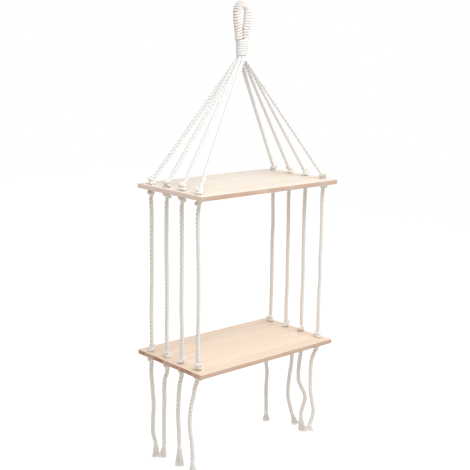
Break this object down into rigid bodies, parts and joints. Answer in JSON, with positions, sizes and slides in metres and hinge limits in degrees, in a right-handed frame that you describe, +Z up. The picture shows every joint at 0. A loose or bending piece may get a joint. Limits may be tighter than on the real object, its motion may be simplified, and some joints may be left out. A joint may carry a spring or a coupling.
{
  "type": "hanging rope shelf",
  "caption": "Two-tier hanging shelf: glued pine boards on knotted cotton ropes that meet in a wrapped collar and a bound hanging loop, with frayed rope ends below.",
  "frame": {"origin": "the hook seat: the lowest point of the inside of the hanging loop’s crown, where a ceiling hook bears", "axes": "+Z up, along the pull of the hook; +X along the boards’ long side, to the right seen from the front; +Y towards the back"},
  "size_m": [0.4122, 0.225, 1.0386],
  "materials": {
    "pine": "planed, unfinished pine, pale, matt",
    "cotton_rope": "three-strand twisted natural cotton, matt",
    "wrap_cord": "thin natural cotton cord, wound tight, matt"
  },
  "bodies": {
    "hanger": {"loop_core": "cotton_rope", "loop_serving": "wrap_cord"},
    "collar": {"collar_wrap": "wrap_cord", "gathered_ropes": "cotton_rope"},
    "throat": {"rope_throat": "cotton_rope"},
    "upper_tier": {"upper_strip_1": "pine", "upper_strip_2": "pine", "upper_strip_3": "pine", "upper_strip_4": "pine", "upper_strip_5": "pine", "upper_strip_6": "pine", "upper_strip_7": "pine", "sling_left_1": "cotton_rope", "sling_left_2": "cotton_rope", "sling_left_3": "cotton_rope", "sling_left_4": "cotton_rope", "sling_right_1": "cotton_rope", "sling_right_2": "cotton_rope", "sling_right_3": "cotton_rope", "sling_right_4": "cotton_rope", "upper_knots_left_1": "cotton_rope", "upper_knots_left_2": "cotton_rope", "upper_knots_left_3": "cotton_rope", "upper_knots_left_4": "cotton_rope", "upper_knots_right_1": "cotton_rope", "upper_knots_right_2": "cotton_rope", "upper_knots_right_3": "cotton_rope", "upper_knots_right_4": "cotton_rope"},
    "left_row": {"mid_rope_left_1": "cotton_rope", "mid_rope_left_2": "cotton_rope", "mid_rope_left_3": "cotton_rope", "mid_rope_left_4": "cotton_rope"},
    "right_row": {"mid_rope_right_1": "cotton_rope", "mid_rope_right_2": "cotton_rope", "mid_rope_right_3": "cotton_rope", "mid_rope_right_4": "cotton_rope"},
    "lower_tier": {"lower_strip_1": "pine", "lower_strip_2": "pine", "lower_strip_3": "pine", "lower_strip_4": "pine", "lower_strip_5": "pine", "lower_strip_6": "pine", "lower_strip_7": "pine", "lower_knots_left_1": "cotton_rope", "lower_knots_left_2": "cotton_rope", "lower_knots_left_3": "cotton_rope", "lower_knots_left_4": "cotton_rope", "lower_knots_right_1": "cotton_rope", "lower_knots_right_2": "cotton_rope", "lower_knots_right_3": "cotton_rope", "lower_knots_right_4": "cotton_rope"},
    "free_end_left_1": {"tail_left_1": "cotton_rope"},
    "free_end_left_2": {"tail_left_2": "cotton_rope"},
    "free_end_left_3": {"tail_left_3": "cotton_rope"},
    "free_end_left_4": {"tail_left_4": "cotton_rope"},
    "free_end_right_1": {"tail_right_1": "cotton_rope"},
    "free_end_right_2": {"tail_right_2": "cotton_rope"},
    "free_end_right_3": {"tail_right_3": "cotton_rope"},
    "free_end_right_4": {"tail_right_4": "cotton_rope"}
  },
  "joints": [
    {"name": "twist", "type": "hinge", "parent": "hanger", "child": "collar", "pos_m": [0, 0, -0.067], "axis": [0, 0, 1], "range_deg": [-90, 90], "stiffness_Nm_per_rad": 0.03},
    {"name": "sway_front_back", "type": "hinge", "parent": "collar", "child": "throat", "pos_m": [0, 0, -0.104], "axis": [1, 0, 0], "range_deg": [-15, 15]},
    {"name": "sway_sideways", "type": "hinge", "parent": "throat", "child": "upper_tier", "pos_m": [0, 0, -0.104], "axis": [0, 1, 0], "range_deg": [-15, 15]},
    {"name": "rack_left", "type": "hinge", "parent": "upper_tier", "child": "left_row", "pos_m": [-0.1835, 0, -0.4026], "axis": [0, 1, 0], "range_deg": [-20, 20]},
    {"name": "rack_right", "type": "hinge", "parent": "upper_tier", "child": "right_row", "pos_m": [0.1835, 0, -0.4026], "axis": [0, 1, 0], "range_deg": [-20, 20]},
    {"name": "lower_level", "type": "hinge", "parent": "left_row", "child": "lower_tier", "pos_m": [-0.1835, 0, -0.7414], "axis": [0, 1, 0], "range_deg": [-20, 20]},
    {"name": "tail_swing_left_1", "type": "hinge", "parent": "lower_tier", "child": "free_end_left_1", "pos_m": [-0.1835, 0.082, -0.7826], "axis": [0, 1, 0], "range_deg": [-45, 45]},
    {"name": "tail_swing_left_2", "type": "hinge", "parent": "lower_tier", "child": "free_end_left_2", "pos_m": [-0.1835, 0.0265, -0.7826], "axis": [0, 1, 0], "range_deg": [-45, 45]},
    {"name": "tail_swing_left_3", "type": "hinge", "parent": "lower_tier", "child": "free_end_left_3", "pos_m": [-0.1835, -0.0265, -0.7826], "axis": [0, 1, 0], "range_deg": [-45, 45]},
    {"name": "tail_swing_left_4", "type": "hinge", "parent": "lower_tier", "child": "free_end_left_4", "pos_m": [-0.1835, -0.082, -0.7826], "axis": [0, 1, 0], "range_deg": [-45, 45]},
    {"name": "tail_swing_right_1", "type": "hinge", "parent": "lower_tier", "child": "free_end_right_1", "pos_m": [0.1835, 0.082, -0.7826], "axis": [0, 1, 0], "range_deg": [-45, 45]},
    {"name": "tail_swing_right_2", "type": "hinge", "parent": "lower_tier", "child": "free_end_right_2", "pos_m": [0.1835, 0.0265, -0.7826], "axis": [0, 1, 0], "range_deg": [-45, 45]},
    {"name": "tail_swing_right_3", "type": "hinge", "parent": "lower_tier", "child": "free_end_right_3", "pos_m": [0.1835, -0.0265, -0.7826], "axis": [0, 1, 0], "range_deg": [-45, 45]},
    {"name": "tail_swing_right_4", "type": "hinge", "parent": "lower_tier", "child": "free_end_right_4", "pos_m": [0.1835, -0.082, -0.7826], "axis": [0, 1, 0], "range_deg": [-45, 45]}
  ],
  "couplings": [
    {"joint": "rack_right", "follows": "rack_left", "ratio": 1},
    {"joint": "lower_level", "follows": "rack_left", "ratio": -1}
  ]
}
